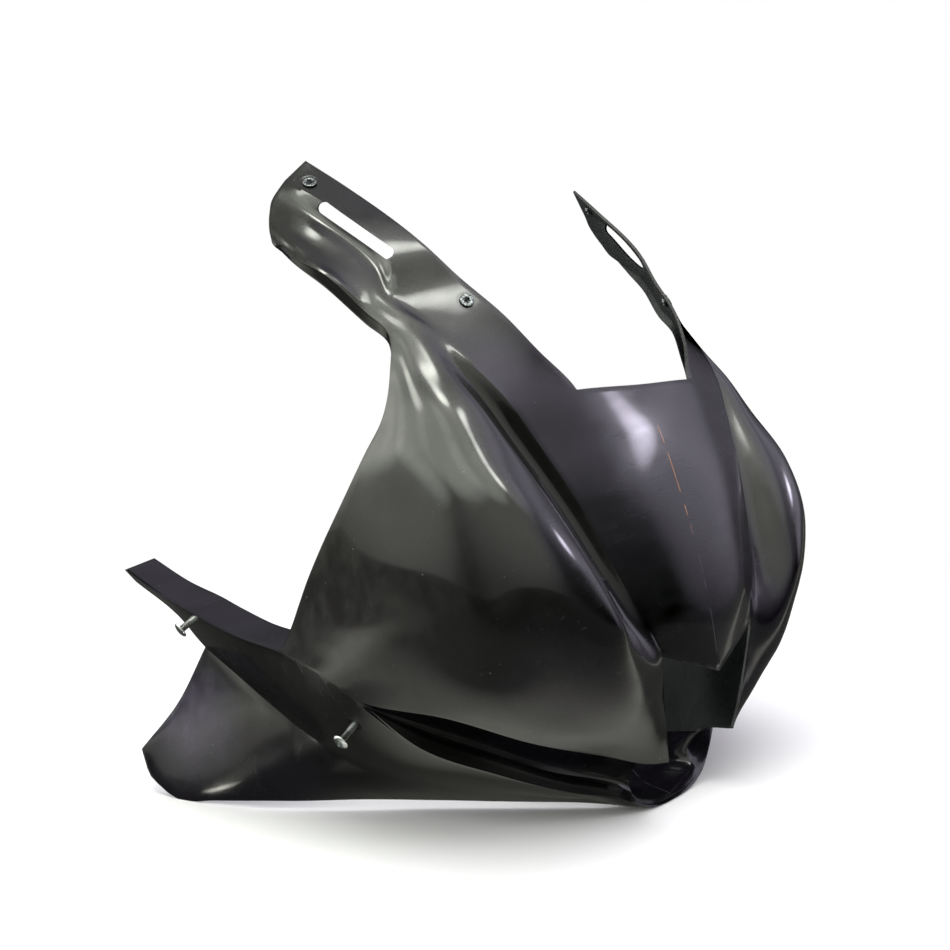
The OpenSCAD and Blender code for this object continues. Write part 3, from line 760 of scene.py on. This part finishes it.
THREAD_START = -4.9
BARREL = [
    (4.0, -3.0), (5.2, -3.05), (5.5, -3.4), (5.5, -4.1), (5.2, -4.5), (4.2, -4.6), (4.0, -4.8),
    (4.0, -5.2), (3.7, -5.5), (2.7, -5.5), (2.45, -5.2), (2.45, 0.9), (2.75, 1.45), (3.1, 1.6),
    (5.3, 1.6), (5.8, 1.45), (6.0, 1.1), (6.0, 0.5), (5.9, 0.4), (4.0, 0.4)]
for side, left in SIDES.items():
    for level, at in INSERTS.items():
        name = "insert_" + level + "_" + side
        here = seat(*at, left)
        body = turned_part(name, BARREL, here)
        body.data.materials.append(zinc)
        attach(body, "panel")
        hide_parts(name)
        blank = bpy.data.objects.new(name + "_blank", bpy.data.meshes.new(name + "_blank"))
        bpy.context.scene.collection.objects.link(blank)
        winding = blank.modifiers.new("winding", "NODES")
        winding.node_group = thread
        winding[material_key] = zinc
        coil = settle(blank, name + "_thread")
        coil.data.transform(here @ Matrix.Translation((0, 0, THREAD_START)))
        coil.data.shade_flat()
        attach(coil, "panel")

# Captive studs. Turned steel, bright zinc plated: dished head with a driver
# slot, plain shank, groove for the ring and a slotted tail with a cross hole.
bright, tree, place = new_material("stud_zinc")
soft_spots = noise(tree, place, 320.0, 3.0)
lathe = noise(tree, place, 3200.0, 1.0)
finish_material(tree, node(tree, "BsdfPrincipled", {
    "Base Color": tinted(tree, ramp(tree, soft_spots, 0.35, 0.7), "b4b9ba", "dfe2e1"), "Metallic": 1.0,
    "Roughness": ramp(tree, lathe, 0.3, 0.7, 0.14, 0.3)}))
SHANK = [
    (0, -10.0), (2.0, -10.0), (2.35, -9.85), (2.85, -9.3), (3.0, -9.0), (3.0, -4.6), (2.4, -4.58),
    (2.4, -3.3), (3.0, -3.28), (3.0, 9.6), (3.15, 9.9), (3.5, 10.0), (6.4, 10.0), (6.8, 10.15),
    (7.0, 10.5), (6.85, 10.95), (6.1, 11.6), (4.8, 12.1), (3.4, 12.35), (1.8, 12.4), (0, 12.4)]


def block(name, size, centre, place):
    data = bpy.data.meshes.new(name)
    shape = bmesh.new()
    bmesh.ops.create_cube(shape, size=1)
    for corner in shape.verts:
        corner.co = place @ Vector([c * s + o for c, s, o in zip(corner.co, size, centre)])
    bmesh.ops.recalc_face_normals(shape, faces=shape.faces)
    shape.to_mesh(data)
    shape.free()
    made = bpy.data.objects.new(name, data)
    bpy.context.scene.collection.objects.link(made)
    return made


for side, left in SIDES.items():
    for level, at in STUDS.items():
        name = "stud_" + level + "_" + side
        here = seat(*at, left)
        blank = turned_part(name + "_blank", SHANK, here)
        blank.data.materials.append(bright)
        tools = [
            block("driver_slot", (9.0, 1.3, 2.0), (0, 0, 12.3), here),
            block("tail_slot", (1.6, 8.0, 3.2), (0, 0, -9.4), here),
            turned_part("cross_hole", [(0, -4), (1.15, -4), (1.15, 4), (0, 4)],
                        here @ Matrix.Translation((0, 0, -7.6)) @ Matrix.Rotation(math.pi / 2, 4, "X"), 24)]
        for tool in tools:
            cutting = blank.modifiers.new(tool.name, "BOOLEAN")
            cutting.operation = "DIFFERENCE"
            cutting.solver = "EXACT"
            cutting.object = tool
        stud = settle(blank, name)
        for tool in tools:
            bpy.data.objects.remove(tool)
        stud.data.set_sharp_from_angle(angle=math.radians(35))
        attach(stud, name)
        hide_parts(name)

# Retaining rings. Punched spring steel, snapped over the groove behind the
# laminate, with a narrow gap where they open.
dull, tree, place = new_material("ring_steel")
mottle = noise(tree, place, 540.0, 3.0)
finish_material(tree, node(tree, "BsdfPrincipled", {
    "Base Color": tinted(tree, ramp(tree, mottle, 0.35, 0.65), "6f7374", "9a9e9f"), "Metallic": 1.0,
    "Roughness": ramp(tree, mottle, 0.3, 0.7, 0.28, 0.45)}))
RING = [
    (2.46, -4.44), (2.56, -4.54), (5.35, -4.54), (5.5, -4.39), (5.5, -3.49), (5.35, -3.34),
    (2.56, -3.34), (2.46, -3.44)]
RING_GAP = 0.28
for side, left in SIDES.items():
    for level, at in STUDS.items():
        name = "ring_" + level + "_" + side
        ring = turned_part(name, RING, seat(*at, left), 64, RING_GAP / 2, 2 * math.pi - RING_GAP)
        ring.data.materials.append(dull)
        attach(ring, name)
        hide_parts(name)
